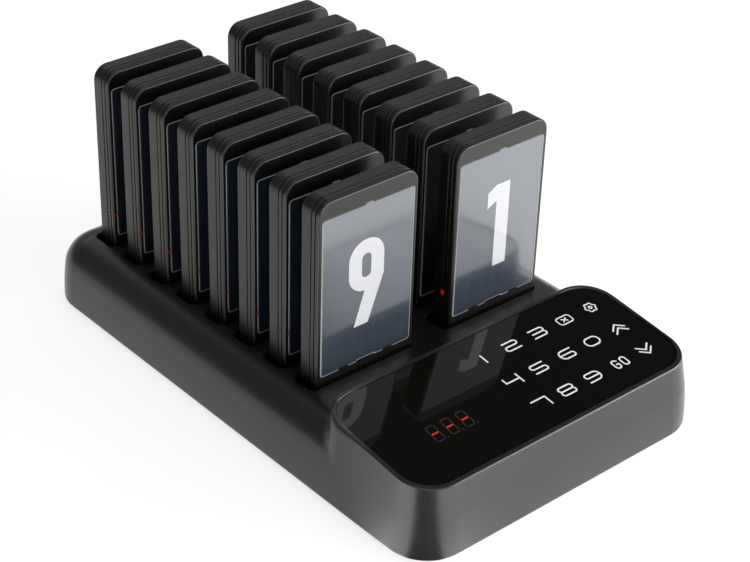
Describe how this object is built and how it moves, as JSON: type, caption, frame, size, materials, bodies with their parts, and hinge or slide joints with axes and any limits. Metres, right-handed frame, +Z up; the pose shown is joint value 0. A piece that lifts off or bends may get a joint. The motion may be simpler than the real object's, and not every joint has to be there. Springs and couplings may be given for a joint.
{
  "type": "guest pager system",
  "caption": "Charging base with a tilted touch keypad and LED display at the front, and two columns of plug-in guest pagers standing in slots behind it.",
  "frame": {"origin": "on the table, under the middle of the base", "axes": "+X to the right of someone at the keypad, -Y towards the keypad side, +Z up"},
  "size_m": [0.169, 0.2718, 0.1233],
  "materials": {
    "base_shell": "satin metallic grey",
    "base_underside": "fine texture, black",
    "touch_panel": "polished black",
    "circuit_board": "solder mask green",
    "display_housing": "dark grey with a clear face",
    "slot_tray": "black moulding",
    "contact_metal": "gold plated",
    "shield_can": "tinned",
    "antenna_wire": "lacquered wire",
    "sounder_case": "moulded black",
    "ribbon": "grey flat cable",
    "inlet_plastic": "moulded black",
    "foot_rubber": "soft black",
    "screw_steel": "zinc plated",
    "pager_shell": "satin dark grey",
    "light_band": "smoky translucent",
    "window_clear": "clear polished",
    "number_card": "dark blue card with a white number",
    "battery_foil": "foil pouch",
    "led_lens": "clear red lens",
    "pager_case": "satin dark grey",
    "pager_face": "clear window over a dark blue card"
  },
  "bodies": {
    "base": {"base_top_shell": "base_shell", "base_bottom_cover": "base_underside", "keypad_panel": "touch_panel", "touch_board": "circuit_board", "display_module": "display_housing", "slot_tray_right": "slot_tray", "slot_tray_left": "slot_tray", "charging_boards": "circuit_board", "charging_pins": "contact_metal", "main_board": "circuit_board", "radio_module": "shield_can", "antenna": "antenna_wire", "base_sounder": "sounder_case", "ribbon_cables": "ribbon", "power_inlet": "inlet_plastic", "rubber_feet": "foot_rubber", "base_case_screws": "screw_steel", "board_screws": "screw_steel"},
    "pager_01": {"pager_01_rear_shell": "pager_shell", "pager_01_light_band": "light_band", "pager_01_front_shell": "pager_shell", "pager_01_window": "window_clear", "pager_01_number_card": "number_card", "pager_01_circuit_board": "circuit_board", "pager_01_battery": "battery_foil", "pager_01_vibration_motor": "shield_can", "pager_01_sounder": "sounder_case", "pager_01_light_leds": "led_lens", "pager_01_charge_contacts": "contact_metal", "pager_01_case_screws": "screw_steel"},
    "pager_02": {"pager_02_case": "pager_case", "pager_02_window": "pager_face"},
    "pager_03": {"pager_03_case": "pager_case", "pager_03_window": "pager_face"},
    "pager_04": {"pager_04_case": "pager_case", "pager_04_window": "pager_face"},
    "pager_05": {"pager_05_case": "pager_case", "pager_05_window": "pager_face"},
    "pager_06": {"pager_06_case": "pager_case", "pager_06_window": "pager_face"},
    "pager_07": {"pager_07_case": "pager_case", "pager_07_window": "pager_face"},
    "pager_08": {"pager_08_case": "pager_case", "pager_08_window": "pager_face"},
    "pager_09": {"pager_09_case": "pager_case", "pager_09_window": "pager_face"},
    "pager_10": {"pager_10_case": "pager_case", "pager_10_window": "pager_face"},
    "pager_11": {"pager_11_case": "pager_case", "pager_11_window": "pager_face"},
    "pager_12": {"pager_12_case": "pager_case", "pager_12_window": "pager_face"},
    "pager_13": {"pager_13_case": "pager_case", "pager_13_window": "pager_face"},
    "pager_14": {"pager_14_case": "pager_case", "pager_14_window": "pager_face"},
    "pager_15": {"pager_15_case": "pager_case", "pager_15_window": "pager_face"},
    "pager_16": {"pager_16_case": "pager_case", "pager_16_window": "pager_face"}
  },
  "joints": [
    {"name": "pager_01_lift", "type": "slide", "parent": "base", "child": "pager_01", "axis": [0, 0, 1], "range_m": [0, 0.11]},
    {"name": "pager_02_lift", "type": "slide", "parent": "base", "child": "pager_02", "axis": [0, 0, 1], "range_m": [0, 0.11]},
    {"name": "pager_03_lift", "type": "slide", "parent": "base", "child": "pager_03", "axis": [0, 0, 1], "range_m": [0, 0.11]},
    {"name": "pager_04_lift", "type": "slide", "parent": "base", "child": "pager_04", "axis": [0, 0, 1], "range_m": [0, 0.11]},
    {"name": "pager_05_lift", "type": "slide", "parent": "base", "child": "pager_05", "axis": [0, 0, 1], "range_m": [0, 0.11]},
    {"name": "pager_06_lift", "type": "slide", "parent": "base", "child": "pager_06", "axis": [0, 0, 1], "range_m": [0, 0.11]},
    {"name": "pager_07_lift", "type": "slide", "parent": "base", "child": "pager_07", "axis": [0, 0, 1], "range_m": [0, 0.11]},
    {"name": "pager_08_lift", "type": "slide", "parent": "base", "child": "pager_08", "axis": [0, 0, 1], "range_m": [0, 0.11]},
    {"name": "pager_09_lift", "type": "slide", "parent": "base", "child": "pager_09", "axis": [0, 0, 1], "range_m": [0, 0.11]},
    {"name": "pager_10_lift", "type": "slide", "parent": "base", "child": "pager_10", "axis": [0, 0, 1], "range_m": [0, 0.11]},
    {"name": "pager_11_lift", "type": "slide", "parent": "base", "child": "pager_11", "axis": [0, 0, 1], "range_m": [0, 0.11]},
    {"name": "pager_12_lift", "type": "slide", "parent": "base", "child": "pager_12", "axis": [0, 0, 1], "range_m": [0, 0.11]},
    {"name": "pager_13_lift", "type": "slide", "parent": "base", "child": "pager_13", "axis": [0, 0, 1], "range_m": [0, 0.11]},
    {"name": "pager_14_lift", "type": "slide", "parent": "base", "child": "pager_14", "axis": [0, 0, 1], "range_m": [0, 0.11]},
    {"name": "pager_15_lift", "type": "slide", "parent": "base", "child": "pager_15", "axis": [0, 0, 1], "range_m": [0, 0.11]},
    {"name": "pager_16_lift", "type": "slide", "parent": "base", "child": "pager_16", "axis": [0, 0, 1], "range_m": [0, 0.11]}
  ]
}
